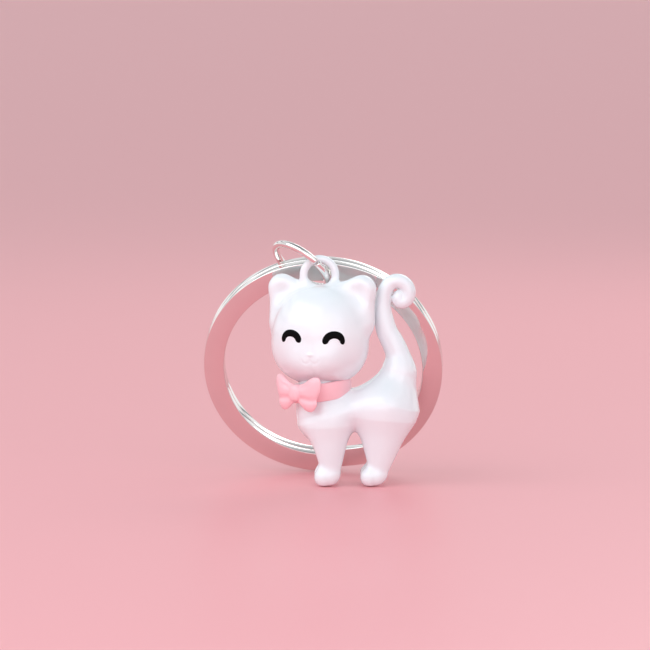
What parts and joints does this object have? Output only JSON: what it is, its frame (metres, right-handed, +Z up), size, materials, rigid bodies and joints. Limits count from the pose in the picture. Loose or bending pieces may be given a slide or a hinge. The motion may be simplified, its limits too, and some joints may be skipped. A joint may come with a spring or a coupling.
{
  "type": "key ring with figure",
  "caption": "Enamelled cast cat figure with a bow, hung by a wire jump ring from a flat split key ring that leans behind it.",
  "frame": {"origin": "floor under the middle of the whole object, figure and leaning ring together", "axes": "+Z up, +X from the figure's chest to its tail, +Y from the figure to the key ring behind it"},
  "size_m": [0.033, 0.024, 0.0334],
  "materials": {
    "white_enamel": "gloss enamel over zinc die casting",
    "pink_enamel": "gloss pink enamel",
    "black_enamel": "gloss black enamel fill",
    "bright_nickel": "bright nickel plate, polished",
    "pin_steel": "plain ground pin"
  },
  "bodies": {
    "cat": {"body_casting": "white_enamel", "tail_casting": "white_enamel", "tail_pin": "pin_steel", "head_casting": "white_enamel", "crown_loop": "white_enamel", "neck_dowel": "pin_steel", "collar_ribbon": "pink_enamel", "bow_knot": "pink_enamel", "bow_left_wing": "pink_enamel", "bow_right_wing": "pink_enamel", "left_eye_enamel": "black_enamel", "right_eye_enamel": "black_enamel"},
    "jump_ring": {"jump_ring": "bright_nickel"},
    "split_ring": {"split_ring": "bright_nickel"}
  },
  "joints": [
    {"name": "jump_ring_swing", "type": "hinge", "parent": "cat", "child": "jump_ring", "pos_m": [-0.00239, -0.0056, 0.02983], "axis": [0.8939, 0.1205, 0.4319], "range_deg": [0, 90]},
    {"name": "split_ring_swing", "type": "hinge", "parent": "jump_ring", "child": "split_ring", "pos_m": [-0.00304, -0.00155, 0.02914], "axis": [0.8102, -0.2501, 0.5301], "range_deg": [0, 150]}
  ]
}
